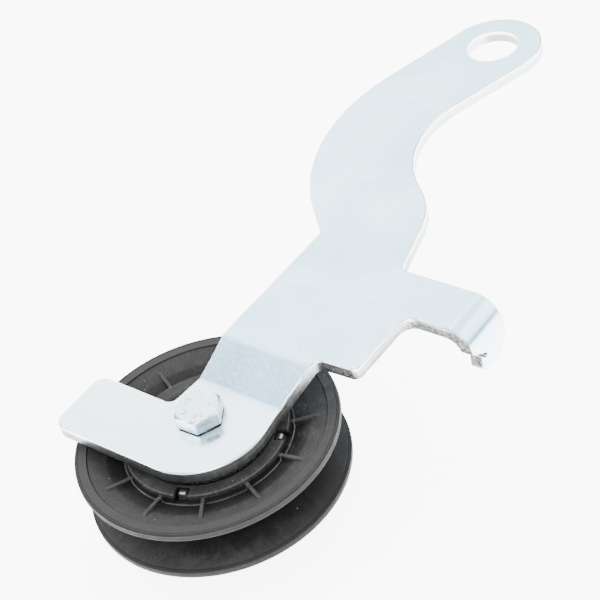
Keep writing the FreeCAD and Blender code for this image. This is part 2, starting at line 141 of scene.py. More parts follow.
# ---- materials ----------------------------------------------------------------------------------
class Paint:
    """A node material and short ways of adding nodes to it."""

    def __init__(self, name, **shader):
        self.material = bpy.data.materials.new(name)
        self.material.use_nodes = True
        self.tree = self.material.node_tree
        self.shader = self.tree.nodes["Principled BSDF"]
        for socket, value in shader.items():
            self.shader.inputs[socket.replace("_", " ")].default_value = value
        self.spot = self.add("ShaderNodeTexCoord").outputs["Object"]

    def add(self, kind, inputs=(), **settings):
        node = self.tree.nodes.new(kind)
        for key, value in settings.items():
            setattr(node, key, value)
        for key, value in dict(inputs).items():
            self.feed(node.inputs[key], value)
        return node

    def feed(self, socket, value):
        if isinstance(value, bpy.types.NodeSocket):
            self.tree.links.new(value, socket)
        else:
            socket.default_value = value

    def math(self, operation, a, b=0.0, clamp=False):
        return self.add("ShaderNodeMath", {0: a, 1: b}, operation=operation, use_clamp=clamp).outputs[0]

    def times(self, value, *others):
        for other in others:
            value = self.math("MULTIPLY", value, other)
        return value

    def plus(self, value, *others):
        for other in others:
            value = self.math("ADD", value, other)
        return value

    def minus(self, a, b):
        return self.math("SUBTRACT", a, b)

    def apart(self, value, middle):
        """How far the value is from the middle, without its sign."""
        return self.math("ABSOLUTE", self.minus(value, middle))

    def length(self, a, b):
        return self.math("SQRT", self.plus(self.times(a, a), self.times(b, b)))

    def band(self, value, low, high, out_low=0.0, out_high=1.0):
        """value mapped smoothly from low..high to out_low..out_high."""
        return self.add("ShaderNodeMapRange", {0: value, 1: low, 2: high, 3: out_low, 4: out_high},
                        interpolation_type="SMOOTHSTEP").outputs[0]

    def fade(self, value, low, high):
        """1 up to low, falling smoothly to 0 at high."""
        return self.band(value, low, high, 1.0, 0.0)

    def within(self, value, outside_low, low, high, outside_high):
        """1 from low to high, falling smoothly to 0 on both sides."""
        return self.times(self.band(value, outside_low, low), self.fade(value, high, outside_high))

    def off(self, share):
        """Where the share isn't."""
        return self.minus(1.0, share)

    def split(self, vector):
        return self.add("ShaderNodeSeparateXYZ", {0: vector}).outputs

    def joined(self, x, y, z):
        return self.add("ShaderNodeCombineXYZ", {0: x, 1: y, 2: z}).outputs[0]

    def noise(self, scale, detail=3.0, vector=None, roughness=0.55, distortion=0.0):
        inputs = {"Vector": self.spot if vector is None else vector, "Scale": scale, "Detail": detail,
                  "Roughness": roughness, "Distortion": distortion}
        return self.add("ShaderNodeTexNoise", inputs).outputs["Fac"]

    def cells(self, scale):
        return self.add("ShaderNodeTexVoronoi", {"Vector": self.spot, "Scale": scale}).outputs["Distance"]

    def stretched(self, scale):
        return self.add("ShaderNodeMapping", {"Vector": self.spot, "Scale": scale}).outputs[0]

    def ramp(self, value, stops):
        node = self.add("ShaderNodeValToRGB", {0: value})
        set_stops(node.color_ramp, stops)
        return node.outputs[0]

    def mix(self, share, a, b):
        node = self.add("ShaderNodeMix", {0: share}, data_type="RGBA")
        for socket, value in ((node.inputs[6], a), (node.inputs[7], b)):
            self.feed(socket, (*value, 1.0) if isinstance(value, tuple) else value)
        return node.outputs[2]

    def wear(self):
        return self.add("ShaderNodeAttribute", attribute_name="wear").outputs["Fac"]

    def bump(self, height, distance, strength, under=None):
        inputs = {"Height": height, "Distance": distance, "Strength": strength}
        if under is not None:
            inputs["Normal"] = under
        return self.add("ShaderNodeBump", inputs).outputs[0]

    def millimetres(self):
        """The place about the working origin."""
        return [self.plus(self.times(value, 1.0 / MM), -float(start))
                for value, start in zip(self.split(self.spot), ORIGIN)]

    def about_axis(self):
        """Radius and angle in radians about the pulley's axis, and the height."""
        x, y, z = self.millimetres()
        return self.length(x, y), self.math("ARCTAN2", y, x), z

    def finish(self, colour, roughness, normal=None):
        self.feed(self.shader.inputs["Base Color"], colour)
        self.feed(self.shader.inputs["Roughness"], roughness)
        if normal is not None:
            self.feed(self.shader.inputs["Normal"], normal)
        return self.material


def set_stops(ramp, stops):
    while len(ramp.elements) < len(stops):
        ramp.elements.new(0.5)
    for element, (position, colour) in zip(ramp.elements, stops):
        element.position = position
        element.color = (*colour, 1.0)


def plated_faces(p, x, y, z, normal_z, cloud):
    """Plating on the sheet's faces: cloudy blue-white, painted whiter on the foot as painted light,
    painted greyer and darker underneath as painted shade, duller on the curled tail, with a faint
    grain and pits."""
    colour = p.ramp(cloud, [(0.30, (0.40, 0.65, 0.85)), (0.5, (0.52, 0.76, 0.93)),
                            (0.70, (0.68, 0.88, 0.98))])
    grain = p.noise(900.0, 2.0, vector=p.stretched((0.12, 1.0, 1.0)))
    colour = p.mix(p.band(grain, 0.35, 0.75, 0.0, 0.14), colour, (0.50, 0.68, 0.83))
    # the foot painted whiter: painted light, as if lit more strongly than the rest of the plate
    foot = p.times(p.fade(x, STEP_START_X - 3.3, STEP_START_X - 0.3), p.band(cloud, 0.3, 0.7, 0.45, 0.75))
    colour = p.mix(foot, colour, (0.90, 0.97, 1.0))
    # the underside painted greyer and darker: painted shade, which also dims the light it bounces onto the
    # pulley
    painted_dim_underside = p.fade(normal_z, -0.5, 0.0)
    colour = p.mix(p.times(painted_dim_underside, 0.85), colour, (0.40, 0.415, 0.425))
    tail = p.times(p.fade(y, CURL_Y - 1.1, CURL_Y + 0.9), p.fade(z, 4.0, 8.0))
    colour = p.mix(p.times(tail, 0.75), colour, (0.70, 0.76, 0.79))
    pits = p.times(p.fade(p.cells(150.0), 0.03, 0.09), p.band(p.noise(60.0, 1.0), 0.50, 0.60))
    return p.mix(p.times(pits, 0.7), colour, (0.30, 0.38, 0.43)), pits


def marks_by_head(p, x, y, colour):
    """Painted shade in a dark ring round the bolt's head where it meets the plate, with grime, and a
    painted reflection of the head: a dark smudge beside it.
    """
    # painted shade where the head meets the plate, with grime
    head_shade_and_grime = p.times(p.fade(p.length(x, y), 6.4, 8.6), p.band(p.noise(260.0), 0.3, 0.6, 0.4, 1.0))
    colour = p.mix(p.times(head_shade_and_grime, 0.8), colour, (0.27, 0.29, 0.30))
    # a painted reflection of the head: a dark smudge beside it on the foot
    lean_cos, lean_sin = 0.83, 0.55
    head_reflection_x, head_reflection_y = p.minus(x, HEAD_REFLECTION_X), p.minus(y, HEAD_REFLECTION_Y)
    along = p.apart(p.times(head_reflection_x, lean_cos), p.times(head_reflection_y, lean_sin))
    across = p.math("ABSOLUTE", p.plus(p.times(head_reflection_x, lean_sin), p.times(head_reflection_y, lean_cos)))
    head_reflection = p.times(p.fade(along, 1.2, 2.8), p.fade(across, 0.4, 1.4),
                     p.band(p.noise(700.0), 0.3, 0.55, 0.5, 0.85))
    return p.mix(head_reflection, colour, (0.17, 0.18, 0.19))


def sheared_edges(p, x, y, z, normal_x):
    """Punched edges: a bright shear band over a grey fracture in layers, painted whiter towards the eye
    as a painted highlight. The fracture is coarse and dark on the hook tab's back edge, and the other
    back edges get painted shade."""
    streaks = p.noise(800.0, vector=p.stretched((1.0, 1.0, 0.06)))
    layers = p.noise(1000.0, vector=p.stretched((0.07, 0.07, 2.6)))
    torn = p.noise(1400.0, 4.0)
    depth = p.minus(p.band(x, STEP_START_X, STEP_END_X, FOOT_TOP, ARM_TOP), z)
    through = p.plus(p.times(depth, 1.0 / SHEET), p.times(p.minus(layers, 0.5), 0.5))
    colour = p.ramp(through, [
        (0.0, (0.86, 0.90, 0.93)), (0.16, (0.84, 0.88, 0.90)), (0.24, (0.40, 0.42, 0.43)),
        (0.31, (0.17, 0.175, 0.18)), (0.38, (0.52, 0.54, 0.55)), (0.58, (0.34, 0.35, 0.36)),
        (0.80, (0.24, 0.25, 0.255)), (1.0, (0.14, 0.145, 0.15))])
    colour = p.mix(p.band(streaks, 0.35, 0.75, 0.0, 0.25), colour, (0.72, 0.74, 0.75))
    # painted highlight: the sheared edges painted whiter towards the eye
    colour = p.mix(p.band(x, *PAINTED_BRIGHT_EDGE_X, 0.0, 0.65), colour, (0.90, 0.92, 0.94))

    facing_back = p.fade(normal_x, -0.85, -0.4)
    on_tab = p.fade(y, TAB_Y - 1.5, TAB_Y + 1.5)
    ragged_depth = p.plus(depth, p.times(p.minus(torn, 0.5), 1.6))
    fracture = p.times(p.band(ragged_depth, 1.1, 1.7), p.band(torn, 0.3, 0.6, 0.5, 1.0),
                       p.math("MAXIMUM", p.times(facing_back, on_tab), 0.25))
    crumbs = p.ramp(p.noise(1000.0, 5.0, roughness=0.75), [
        (0.40, (0.012, 0.012, 0.013)), (0.50, (0.07, 0.072, 0.075)), (0.62, (0.34, 0.35, 0.36))])
    colour = p.mix(fracture, colour, crumbs)
    shade = p.times(facing_back, p.band(depth, 0.8, 1.6), p.off(on_tab))
    colour = p.mix(p.times(shade, 0.75), colour, (0.16, 0.165, 0.17))
    relief = p.plus(p.times(streaks, 0.5), p.times(torn, fracture))
    return colour, fracture, relief


def zinc_arm():
    """Bright plating on the pressed arm: its faces, a scuffed step with painted shade in the crease at
    its foot, painted white highlights on the rolled edges, and grey sheared ones."""
    p = Paint("zinc_arm", Metallic=1.0)
    x, y, z = p.millimetres()
    normal_x, _, normal_z = p.split(p.add("ShaderNodeNewGeometry").outputs["Normal"])
    curl = p.times(p.fade(y, CURL_Y - 1.1, CURL_Y + 0.9), p.fade(p.apart(normal_x, 0.0), 0.45, 0.75))
    sheared = p.times(p.fade(p.apart(normal_z, 0.0), 0.35, 0.75), p.off(curl))
    upward = p.band(normal_z, 0.6, 0.8)
    step = p.times(p.within(x, STEP_START_X - 1.3, STEP_START_X + 0.3, STEP_END_X - 1.5, STEP_END_X + 2.0),
                   upward)
    # painted shade in the crease at the foot of the step
    crease_shade = p.times(p.within(x, STEP_START_X - 0.45, STEP_START_X - 0.15, STEP_START_X + 0.15,
                              STEP_START_X + 0.55), upward)
    # painted white highlights along the rolled edges
    rolled_edge_highlight = p.times(p.within(normal_z, 0.2, 0.4, 0.82, 0.97), p.band(y, CURL_Y + 0.9, CURL_Y + 2.9),
                     p.off(step))

    cloud = p.noise(28.0, distortion=0.6)
    face, pits = plated_faces(p, x, y, z, normal_z, cloud)
    face = marks_by_head(p, x, y, face)
    scuffs = p.band(p.noise(850.0, vector=p.stretched((0.8, 1.0, 1.0))), 0.50, 0.66)
    face = p.mix(p.times(step, 0.7), face, p.mix(scuffs, (0.42, 0.70, 0.94), (0.62, 0.86, 1.0)))
    face = p.mix(p.times(crease_shade, 0.5), face, (0.30, 0.42, 0.50))
    face = p.mix(p.times(rolled_edge_highlight, 0.9), face, (0.97, 0.98, 0.99))
    edge, fracture, edge_relief = sheared_edges(p, x, y, z, normal_x)

    fine = p.noise(420.0)
    rough = p.plus(p.band(cloud, 0.3, 0.7, 0.16, 0.25), p.times(fine, 0.09), p.times(step, 0.10),
                   p.times(sheared, p.plus(0.08, p.times(fracture, 0.25))))
    relief = p.bump(cloud, 0.0004, 0.3)
    relief = p.bump(p.plus(fine, p.times(pits, -1.2)), 0.00004, 0.25, under=relief)
    relief = p.bump(p.times(step, scuffs), 0.00010, 0.3, under=relief)
    relief = p.bump(p.times(sheared, edge_relief), 0.00016, 0.45, under=relief)
    return p.finish(p.mix(sheared, face, edge), rough, relief)


def zinc_hardware():
    """Bluer plating with dull patches, edges painted lighter as wear and painted highlight, and painted
    shade in the gap under the bolt's head.
    """
    p = Paint("zinc_hardware", Metallic=1.0)
    cloud = p.noise(180.0)
    fine = p.noise(1500.0)
    colour = p.ramp(cloud, [(0.3, (0.50, 0.68, 0.73)), (0.55, (0.62, 0.79, 0.83)),
                            (0.8, (0.78, 0.91, 0.94))])
    # edges and raised dashes painted lighter: wear, and painted highlights
    edge_wear_and_highlight = p.math("MULTIPLY", p.wear(), p.band(fine, 0.3, 0.6), clamp=True)
    colour = p.mix(edge_wear_and_highlight, colour, (0.93, 0.95, 0.96))
    dull = p.band(p.noise(500.0), 0.55, 0.72)
    colour = p.mix(p.times(dull, 0.3), colour, (0.42, 0.49, 0.54))
    above_foot = p.minus(p.millimetres()[2], FOOT_TOP)
    # painted shade in the gap under the bolt's head
    head_gap_shade = p.within(above_foot, -0.02, 0.0, 0.40, 0.55)
    colour = p.mix(p.times(head_gap_shade, 0.85), colour, (0.03, 0.03, 0.03))
    rough = p.plus(p.band(cloud, 0.3, 0.7, 0.13, 0.23), p.times(dull, 0.14))
    return p.finish(colour, rough, p.bump(p.plus(fine, p.times(cloud, 1.5)), 0.00005, 0.35))


def black(level):
    """A dark grey with a trace of blue."""
    return level, level, level * 1.018


def nylon_skin(p, radius, angle, height):
    """The nylon as moulded: flow lines out from the hub, faint rings, blotches and a fine grain."""
    flow = p.noise(1.0, 4.0, roughness=0.7, vector=p.joined(
        p.times(angle, 39.0), p.times(radius, 0.16), p.times(height, 0.16)))
    rings = p.noise(1.0, 2.0, vector=p.joined(
        p.times(radius, 2.2), p.times(height, 2.2), p.times(angle, 0.8)))
    grain = p.noise(2600.0)
    blotch = p.noise(260.0, 4.0, distortion=0.4)
    colour = p.ramp(flow, [(0.28, black(0.0055)), (0.5, black(0.0095)), (0.72, black(0.017))])
    colour = p.mix(p.band(blotch, 0.46, 0.64, 0.0, 0.8), colour, black(0.023))
    colour = p.mix(p.band(rings, 0.55, 0.75, 0.0, 0.2), colour, black(0.022))
    colour = p.mix(p.band(grain, 0.50, 0.66, 0.0, 0.6), colour, black(0.038))
    rough = p.plus(p.band(blotch, 0.3, 0.7, 0.42, 0.56), p.times(grain, 0.10))
    relief = p.bump(p.plus(p.times(flow, 1.2), rings), 0.00010, 0.30)
    return colour, blotch, rough, p.bump(grain, 0.00005, 0.55, under=relief)


def groove_shade(p, radius, angle, groove, colour):
    """Painted shade in the groove: darkest deep down, painted lighter towards the rim, and darker
    towards one side.
    """
    # painted shade deep in the groove, lifted towards the rim by painted light
    colour = p.mix(p.times(groove, p.band(radius, 30.0, 39.0, 0.88, 0.0)), colour, black(0.0025))
    colour = p.mix(p.times(groove, p.band(radius, 34.0, 38.5, 0.0, 0.4)), colour, black(0.024))
    # painted shade on one side of the pulley
    shaded_side = p.band(p.apart(angle, PAINTED_SHADE_SIDE), 0.5, 1.3, 0.7, 0.0)
    return p.mix(p.times(groove, shaded_side), colour, black(0.003))


def face_tones(p, radius, angle, height, groove, wall, blotch, colour):
    """Tones of the front and rear faces: a painted highlight line at the dish's foot, a greyer land, an
    outer dish painted lighter with painted shade left towards the hub, and scuffs on the front dish
    towards the side painted darker."""
    # a painted highlight along the dish's foot
    foot = p.times(p.within(radius, 25.5, 25.62, 25.85, 26.0), p.band(height, -4.1, -3.9))
    colour = p.mix(p.times(foot, p.band(blotch, 0.3, 0.6, 0.4, 1.0)), colour, black(0.085))
    land = p.times(p.band(radius, LAND_R - 0.1, LAND_R + 0.1), p.off(groove), p.off(wall))
    colour = p.mix(p.times(land, 0.5), colour, black(0.022))
    front = p.band(height, -5.6, -5.2)
    # the outer dish painted lighter, leaving painted shade towards the hub
    painted_light_outer_dish = p.times(front, p.band(radius, 28.0, 35.5, 0.0, 0.4), p.off(wall))
    colour = p.mix(painted_light_outer_dish, colour, black(0.024))
    scuffs = p.times(p.band(p.noise(3600.0), 0.50, 0.66), p.band(p.noise(240.0), 0.42, 0.60, 0.15, 1.0),
                     p.band(p.apart(angle, PAINTED_SHADE_SIDE), 0.35, 1.1, 1.0, 0.15), p.band(radius, 25.0, 28.0))
    return p.mix(p.times(scuffs, front, 0.75), colour, black(0.075))


def rim_lines(p, radius, height, wall):
    """Thin lines round both rims: the dish's edge, a lip on the land and a seam in the wall, where the
    modulo brings the rear rim's heights to the front rim's."""
    on_face = p.math("MAXIMUM", p.math("GREATER_THAN", height, -1.2),
                     p.math("LESS_THAN", height, REAR_FACE + 1.2))
    dish_edge = p.times(p.within(radius, 35.95, 36.05, 36.2, 36.3), on_face)
    lip = p.within(radius, PULLEY_R - 1.25, PULLEY_R - 1.15, PULLEY_R - 0.95, PULLEY_R - 0.85)
    rim_height = p.math("FLOORED_MODULO", height, REAR_FACE + RIM_EDGE)
    seam = p.times(wall, p.fade(p.apart(rim_height, -0.62), 0.14, 0.30))
    return p.math("MAXIMUM", dish_edge, p.math("MAXIMUM", lip, seam))


def ejector_rings(p, radius, angle, height):
    """Faint circles left by the ejector pins, one after each rib of the front half."""
    sector = 2 * math.pi / RIB_COUNT
    first = math.radians(RIB_PHASE + 9.0)
    folded = p.math("FLOORED_MODULO", p.minus(angle, first - sector / 2), sector)
    sideways = p.times(p.minus(folded, sector / 2), radius)
    from_centre = p.length(sideways, p.minus(radius, 30.4))
    return p.times(p.fade(p.apart(from_centre, 1.5), 0.06, 0.2), p.band(height, -4.5, -4.2))


def pulley_nylon():
    """Moulded black nylon with painted shade in the groove, on one side and in the windows, lines on the
    rims, edges painted lighter as wear and painted highlight, and a painted glint on the claws.
    """
    p = Paint("pulley_nylon", Specular_IOR_Level=0.16)
    radius, angle, height = p.about_axis()
    wall = p.band(radius, PULLEY_R - 0.9, PULLEY_R - 0.4)
    groove = p.within(height, REAR_FACE + 1.9, REAR_FACE + 2.3, -2.3, -1.9)
    wear = p.wear()
    colour, blotch, rough, relief = nylon_skin(p, radius, angle, height)
    # edges painted lighter: wear, and painted highlights
    edge_wear_and_highlight = p.times(p.math("MAXIMUM", wear, 0.0), p.band(p.noise(700.0), 0.32, 0.62, 0.35, 1.0),
                     p.minus(0.6, p.times(wall, 0.42)))
    colour = p.mix(edge_wear_and_highlight, colour, black(0.060))
    # the rim's wall painted near black: painted shade
    colour = p.mix(p.times(wall, 0.8), colour, black(0.004))
    colour = groove_shade(p, radius, angle, groove, colour)
    colour = face_tones(p, radius, angle, height, groove, wall, blotch, colour)
    lines = rim_lines(p, radius, height, wall)
    colour = p.mix(p.times(lines, 0.8), colour, black(0.005))
    specks = p.times(p.fade(p.cells(420.0), 0.06, 0.12), p.band(p.noise(110.0, 2.0), 0.54, 0.64))
    colour = p.mix(p.times(specks, 0.5), colour, black(0.22))
    # a painted glint on the claws' noses
    colour = p.mix(p.band(wear, 1.4, 2.0, 0.0, 0.9), colour, (0.40, 0.40, 0.39))
    # painted shade in the windows' pockets and on the claws' sides
    colour = p.mix(p.band(wear, -0.7, -0.1, 0.85, 0.0), colour, black(0.002))
    pins = ejector_rings(p, radius, angle, height)
    colour = p.mix(p.times(pins, 0.25), colour, black(0.035))
    relief = p.bump(p.times(lines, -1.0), 0.0002, 0.6, under=relief)
    return p.finish(colour, rough, p.bump(pins, 0.00008, 0.3, under=relief))


def turned_metal(name, dark, light, rough_low, rough_high):
    """Steel with fine rings left by turning or grinding."""
    p = Paint(name, Metallic=1.0)
    radius, angle, height = p.about_axis()
    rings = p.noise(1.0, vector=p.joined(p.times(radius, 7.0), p.times(height, 7.0), p.times(angle, 3.0)))
    stain = p.noise(140.0)
    colour = p.ramp(rings, [(0.3, dark), (0.7, light)])
    colour = p.mix(p.band(stain, 0.5, 0.75, 0.0, 0.35), colour, tuple(v * 0.6 for v in dark))
    colour = p.mix(p.times(p.wear(), 0.3), colour, tuple(min(1.0, v * 1.2) for v in light))
    return p.finish(colour, p.band(stain, 0.3, 0.7, rough_low, rough_high), p.bump(rings, 0.00004, 0.4))


def speckled(name, dark, light, rough_low, rough_high, grain_scale, metallic=0.0, grain_depth=0.00004):
    """Plain moulded or polished stuff with cloudy tone and a fine grain."""
    p = Paint(name, Metallic=metallic)
    cloud = p.noise(230.0)
    grain = p.noise(grain_scale)
    colour = p.ramp(cloud, [(0.3, dark), (0.7, light)])
    colour = p.mix(p.band(grain, 0.5, 0.7, 0.0, 0.3), colour, tuple(v * 0.75 for v in dark))
    return p.finish(colour, p.band(cloud, 0.3, 0.7, rough_low, rough_high), p.bump(grain, grain_depth, 0.4))


def floor_paint():
    p = Paint("pale_floor", Specular_IOR_Level=0.2)
    tone = p.ramp(p.noise(6.0, 2.0), [(0.3, (0.93, 0.93, 0.93)), (0.7, (0.95, 0.95, 0.95))])
    p.shader.inputs["Emission Color"].default_value = (1.0, 1.0, 1.0, 1.0)
    p.shader.inputs["Emission Strength"].default_value = 6.5
    return p.finish(tone, 0.9)


def add_object(name, data):
    obj = bpy.data.objects.new(name, data)
    bpy.context.scene.collection.objects.link(obj)
    return obj


def paint(obj, material):
    obj.data.materials.clear()
    obj.data.materials.append(material)


LOOKS = {                                       # the material of each slot
    "pulley_nylon": pulley_nylon(),
    "hardware_zinc": zinc_hardware(),
    "bearing_steel": turned_metal("bearing_steel", (0.48, 0.49, 0.51), (0.66, 0.67, 0.69), 0.22, 0.34),
    "bush_steel": turned_metal("bush_steel", (0.50, 0.51, 0.52), (0.70, 0.71, 0.72), 0.28, 0.42),
    "seal_rubber": speckled("seal_rubber", (0.012, 0.012, 0.012), (0.030, 0.030, 0.031), 0.55, 0.72,
                            1800.0),
    "insert_nylon": speckled("insert_nylon", (0.05, 0.13, 0.36), (0.09, 0.19, 0.48), 0.38, 0.52, 1500.0),
}


# ---- meshes -------------------------------------------------------------------------------------
def place(points):
    return (points + ORIGIN) * MM


def polar(radius, angle, height):
    return np.stack([radius * np.cos(angle), radius * np.sin(angle), height], axis=-1)


def grid_faces(rows, columns):
    """Quads of a grid that closes on itself both ways, row by row."""
    i, j = np.meshgrid(np.arange(rows), np.arange(columns), indexing="ij")
    up, along = (i + 1) % rows, (j + 1) % columns
    quads = [i * columns + j, i * columns + along, up * columns + along, up * columns + j]
    return np.stack(quads, axis=-1).reshape(-1, 4)


def closed_shell(points, wear):
    """A shell from a grid of points whose rows and columns both form loops."""
    return points.reshape(-1, 3), grid_faces(*points.shape[:2]), np.empty((0, 3), int), wear.reshape(-1)


def capped_shell(points, wear, cap_wear=0.0):
    """A shell from a grid of points whose rows form loops, with a fan over the first and last row."""
    rows, columns = points.shape[:2]
    j = np.arange(columns)
    after = (j + 1) % columns
    first_pole, last_pole, last_row = rows * columns, rows * columns + 1, (rows - 1) * columns
    fans = [np.stack([np.full(columns, first_pole), after, j], axis=-1),
            np.stack([np.full(columns, last_pole), last_row + j, last_row + after], axis=-1)]
    poles = [points[0].mean(axis=0), points[-1].mean(axis=0)]
    return (np.concatenate([points.reshape(-1, 3), poles]), grid_faces(rows, columns)[:last_row],
            np.concatenate(fans), np.concatenate([wear.reshape(-1), [cap_wear, cap_wear]]))


def signed_volume(points, faces):
    total = 0.0
    for k in range(1, faces.shape[1] - 1):
        a, b, c = points[faces[:, 0]], points[faces[:, k]], points[faces[:, k + 1]]
        total += np.einsum("ij,ij->i", a, np.cross(b, c)).sum()
    return total


def mesh_piece(name, shells, body, node, slot, sharp=40.0):
    """An object from shells (points, quads, triangles, wear), riding on a body in a node's place.
    Edges stay sharp where faces turn by more than the given angle in degrees."""
    points, faces, wear, start = [], [], [], 0
    for shell_points, quads, triangles, shell_wear in shells:
        volume = signed_volume(shell_points, quads) + signed_volume(shell_points, triangles)
        order = 1 if volume > 0 else -1
        for block in (quads, triangles):
            faces += (block[:, ::order] + start).tolist()
        points.append(shell_points)
        wear.append(shell_wear)
        start += len(shell_points)
    mesh = bpy.data.meshes.new(name)
    mesh.from_pydata(place(np.concatenate(points)).tolist(), [], faces)
    wear_layer = mesh.attributes.new("wear", "FLOAT", "POINT")
    wear_layer.data.foreach_set("value", np.concatenate(wear).astype(np.float32))
    mesh.shade_smooth()
    mesh.set_sharp_from_angle(angle=math.radians(sharp))
    obj = add_object(name, mesh)
    paint(obj, LOOKS[slot])
    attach(obj, body)
    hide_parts(node)


def rounded(corners, closed=True, guard=0.12, steps=3):
    """Rows (radius, height, wear) from corners (radius, height, fillet). A fillet has wear 1, and a
    guard row on each side keeps the flat faces beside it flat."""
    out = []
    count = len(corners)
    for i, (r, z, fillet) in enumerate(corners):
        here = np.array([r, z])
        if not closed and i in (0, count - 1) or fillet <= 0:
            out.append((r, z, 0.0))
            continue
        before = np.array(corners[i - 1][:2]) - here
        after = np.array(corners[(i + 1) % count][:2]) - here
        room_before, room_after = np.linalg.norm(before), np.linalg.norm(after)
        before, after = before / room_before, after / room_after
        half = math.acos(np.clip(before @ after, -1, 1)) / 2.0
        reach = fillet / math.tan(half)
        a, b = here + before * reach, here + after * reach
        centre = here + (before + after) / np.linalg.norm(before + after) * fillet / math.sin(half)
        if room_before > reach + 3 * guard:
            out.append((*(a + before * guard), 0.0))
        for k in range(steps + 1):
            t = k / steps
            chord = a * (1 - t) + b * t - centre
            out.append((*(centre + chord / np.linalg.norm(chord) * fillet), 1.0))
        if room_after > reach + 3 * guard:
            out.append((*(b + after * guard), 0.0))
    return np.array(out)


def lathe(name, corners, body, node, slot, columns=192):
    profile = rounded(corners)
    angle = np.linspace(0, 2 * math.pi, columns, endpoint=False)
    radius, height, wear = (np.repeat(profile[:, k:k + 1], columns, axis=1) for k in range(3))
    mesh_piece(name, [closed_shell(polar(radius, angle, height), wear)], body, node, slot)


# ---- pulley -------------------------------------------------------------------------------------
# Offsets from a rib's or a window's middle, each with the share of its shape that a column has there.
RIB_SHARES = [(0.0, 1.0), (0.36, 1.0), (0.50, 0.965), (0.56, 0.84), (0.60, 0.50),
              (0.64, 0.16), (0.72, 0.04), (0.85, 0.0), (1.15, 0.0)]
WINDOW_SHARES = [(0.0, 1.0), (1.2, 1.0), (1.90, 1.0), (2.00, 0.99), (2.05, 0.5),
                 (2.10, 0.012), (2.25, 0.0), (2.6, 0.0)]


def both_sides(shares):
    return [(-offset, share) for offset, share in shares[:0:-1]] + shares


def pulley_columns(has_windows):
    """Columns round a half as (station, next station, fraction of the way). A station is (angle in
    degrees, offset from there in mm, rib share, window share)."""
    sector = 360.0 / RIB_COUNT
    groups = []
    for k in range(RIB_COUNT):
        angle = RIB_PHASE + k * sector
        groups.append([(angle, offset, share, 0.0) for offset, share in both_sides(RIB_SHARES)])
        if has_windows and k % (RIB_COUNT // WINDOW_COUNT) == 0:
            angle = WINDOW_PHASE + k * sector
            groups.append([(angle, offset, 0.0, share) for offset, share in both_sides(WINDOW_SHARES)])
    columns = []
    for i, group in enumerate(groups):
        turn, following = divmod(i + 1, len(groups))
        angle, *rest = groups[following][0]
        target = (angle + 360.0 * turn, *rest)
        fillers = 16 if target[0] - group[-1][0] > 20 else 7
        columns += [(station, station, 0.0) for station in group]
        columns += [(group[-1], target, (n + 1) / (fillers + 1)) for n in range(fillers)]
    return columns


def column_angles(columns, radius):
    """The angle of every column on rows of the given radii, so that offsets keep their width."""
    def at(station):
        return math.radians(station[0]) + np.arcsin(np.clip(station[1] / radius, -1, 1))
    return np.stack([at(a) * (1 - s) + at(b) * s for a, b, s in columns], axis=-1)


def dish_height(r):
    slope = (DISH_FOOT_Z + DISH_STEP) / (DISH_EDGE_R - DISH_FOOT_R)
    return -DISH_STEP + slope * (DISH_EDGE_R - r)


def path_samples(points, fractions):
    """Points along a polyline at given fractions of its corner numbers."""
    points = np.array(points)
    f = np.asarray(fractions) * (len(points) - 1)
    k = np.minimum(f.astype(int), len(points) - 2)
    return points[k] + (points[k + 1] - points[k]) * (f - k)[:, None]


def hub_rows():
    """Rows over the collar and down its wall: plain, in a rib, and in a window. In a window the rows
    of the collar's top go down one side of the claw's channel and up the other."""
    inner, outer = CHANNEL_R
    bottom = -8.4
    top_r = [MOUTH_R, inner - 0.04, inner + 0.04, 21.7, 22.1, 22.6, 23.1, outer - 0.08, outer + 0.08,
             24.0, 24.35]
    top = [(r, COLLAR_Z, 0.7 if r < inner + 0.1 else 0.1) for r in top_r]
    corner = [(COLLAR_R + MOULD_SOFT * (math.sin(a) - 1), COLLAR_Z + MOULD_SOFT * (math.cos(a) - 1), 1.0)
              for a in np.radians([12, 35, 60, 85])]
    wall_from = np.array([COLLAR_R + 0.02, COLLAR_Z - MOULD_SOFT - 0.15])
    wall_to = np.array([DISH_FOOT_R - 0.1, DISH_FOOT_Z + 0.42])
    wall = [(*(wall_from * (1 - s) + wall_to * s), 0.0) for s in (0, 0.12, 0.25, 0.4, 0.55, 0.7, 0.85, 1.0)]
    foot = [(DISH_FOOT_R - 0.03, DISH_FOOT_Z + 0.2, 0), (DISH_FOOT_R + 0.12, DISH_FOOT_Z + 0.08, 0)]
    plain = np.array(top + corner + wall + foot)

    rib = plain.copy()
    rib[-len(wall + foot):, :2] = path_samples(
        [wall_from, (COLLAR_R + 0.12, RIB_TOP_Z + 0.2), (COLLAR_R + 0.3, RIB_TOP_Z - 0.02),
         (DISH_FOOT_R + 0.2, RIB_TOP_Z - 0.14)], np.linspace(0, 1, len(wall + foot)))

    window = plain.copy()
    window[:len(top), :2] = [
        (MOUTH_R, COLLAR_Z), (inner - 0.02, COLLAR_Z - 0.02), (inner + 0.02, COLLAR_Z - 0.4), (inner, bottom),
        (22.1, bottom), (22.6, bottom), (23.1, bottom), (outer, bottom), (outer, WINDOW_FLOOR_Z - 0.1),
        (outer + 0.1, WINDOW_FLOOR_Z), (outer + 0.4, WINDOW_FLOOR_Z)]
    window[len(top):, 0] = np.linspace(outer + 0.5, DISH_FOOT_R + 0.12, len(plain) - len(top))
    window[len(top):, 1] = WINDOW_FLOOR_Z
    window[-2:, 1] = [WINDOW_FLOOR_Z - 0.04, WINDOW_FLOOR_Z - 0.16]
    # painted shade over the window's pocket
    window[2:-3, 2] = PAINTED_SHADE
    return plain, rib, window


